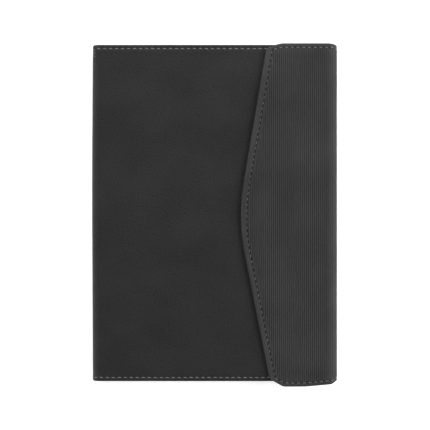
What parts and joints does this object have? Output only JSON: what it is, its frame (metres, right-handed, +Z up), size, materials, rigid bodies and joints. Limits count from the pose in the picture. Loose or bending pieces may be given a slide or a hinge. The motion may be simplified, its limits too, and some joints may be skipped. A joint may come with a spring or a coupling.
{
  "type": "notebook cover",
  "caption": "Closed A5 notebook cover in smooth black leather with a ribbed magnetic flap that wraps from the fore-edge over the front, holding a writing pad.",
  "frame": {"origin": "centre of the underside of the closed cover, lying on its back cover", "axes": "+X from the spine to the fore-edge, +Y from the tail to the head, +Z up through the front cover"},
  "size_m": [0.16, 0.2234, 0.0234],
  "materials": {
    "cover_leather": "smooth fine-grained black coated leather, satin",
    "ribbed_leather": "dark grey leather pressed with fine ribs running from head to tail, satin",
    "pocket_leather": "thin black leather, matt",
    "lining_fabric": "charcoal woven lining",
    "greyboard": "grey bookbinding board",
    "cover_thread": "light grey polyester sewing thread",
    "flap_thread": "light grey polyester sewing thread",
    "plate_steel": "zinc-plated steel disc",
    "magnet_nickel": "nickel-plated magnet",
    "paper_sheets": "off-white writing paper",
    "pad_card": "brown pulp card",
    "tape_cloth": "dark binding tape"
  },
  "bodies": {
    "back_cover": {"back_skin": "cover_leather", "back_seam": "cover_thread", "gusset_tab": "ribbed_leather", "tab_seam": "flap_thread", "back_board": "greyboard", "back_lining": "lining_fabric", "pad_pocket": "pocket_leather", "spine_fold_lower": "cover_leather", "gusset_fold": "ribbed_leather"},
    "spine": {"spine_skin": "cover_leather", "spine_board": "greyboard", "spine_lining": "lining_fabric", "spine_fold_upper": "cover_leather"},
    "front_cover": {"front_skin": "cover_leather", "front_board": "greyboard", "catch_plates": "plate_steel", "front_lining": "lining_fabric", "front_seam": "cover_thread", "document_pocket": "pocket_leather", "card_slot_lower": "pocket_leather", "card_slot_upper": "pocket_leather"},
    "gusset": {"gusset_skin": "ribbed_leather", "gusset_board": "greyboard", "gusset_lining": "lining_fabric", "flap_fold": "ribbed_leather"},
    "flap": {"flap_skin": "ribbed_leather", "flap_seam": "flap_thread", "flap_stiffener": "greyboard", "flap_magnets": "magnet_nickel", "flap_lining": "lining_fabric"},
    "writing_pad": {"pad_card": "pad_card", "page_block": "paper_sheets", "binding_tape": "tape_cloth"}
  },
  "joints": [
    {"name": "spine_fold", "type": "hinge", "parent": "back_cover", "child": "spine", "pos_m": [-0.0783, 0.00115, 0.0017], "axis": [0, -1, 0], "range_deg": [0, 90], "deforming": ["spine_fold_lower"]},
    {"name": "cover_fold", "type": "hinge", "parent": "spine", "child": "front_cover", "pos_m": [-0.0783, 0.00115, 0.0183], "axis": [0, -1, 0], "range_deg": [0, 90], "deforming": ["spine_fold_upper"]},
    {"name": "gusset_fold_hinge", "type": "hinge", "parent": "back_cover", "child": "gusset", "pos_m": [0.07834, 0.00115, 0.00166], "axis": [0, 1, 0], "range_deg": [0, 90], "deforming": ["gusset_fold"]},
    {"name": "flap_fold_hinge", "type": "hinge", "parent": "gusset", "child": "flap", "pos_m": [0.07808, 0.00115, 0.02148], "axis": [0, 1, 0], "range_deg": [0, 90], "deforming": ["flap_fold"]},
    {"name": "pad_slide", "type": "slide", "parent": "back_cover", "child": "writing_pad", "axis": [0, 1, 0], "range_m": [0, 0.22]}
  ]
}
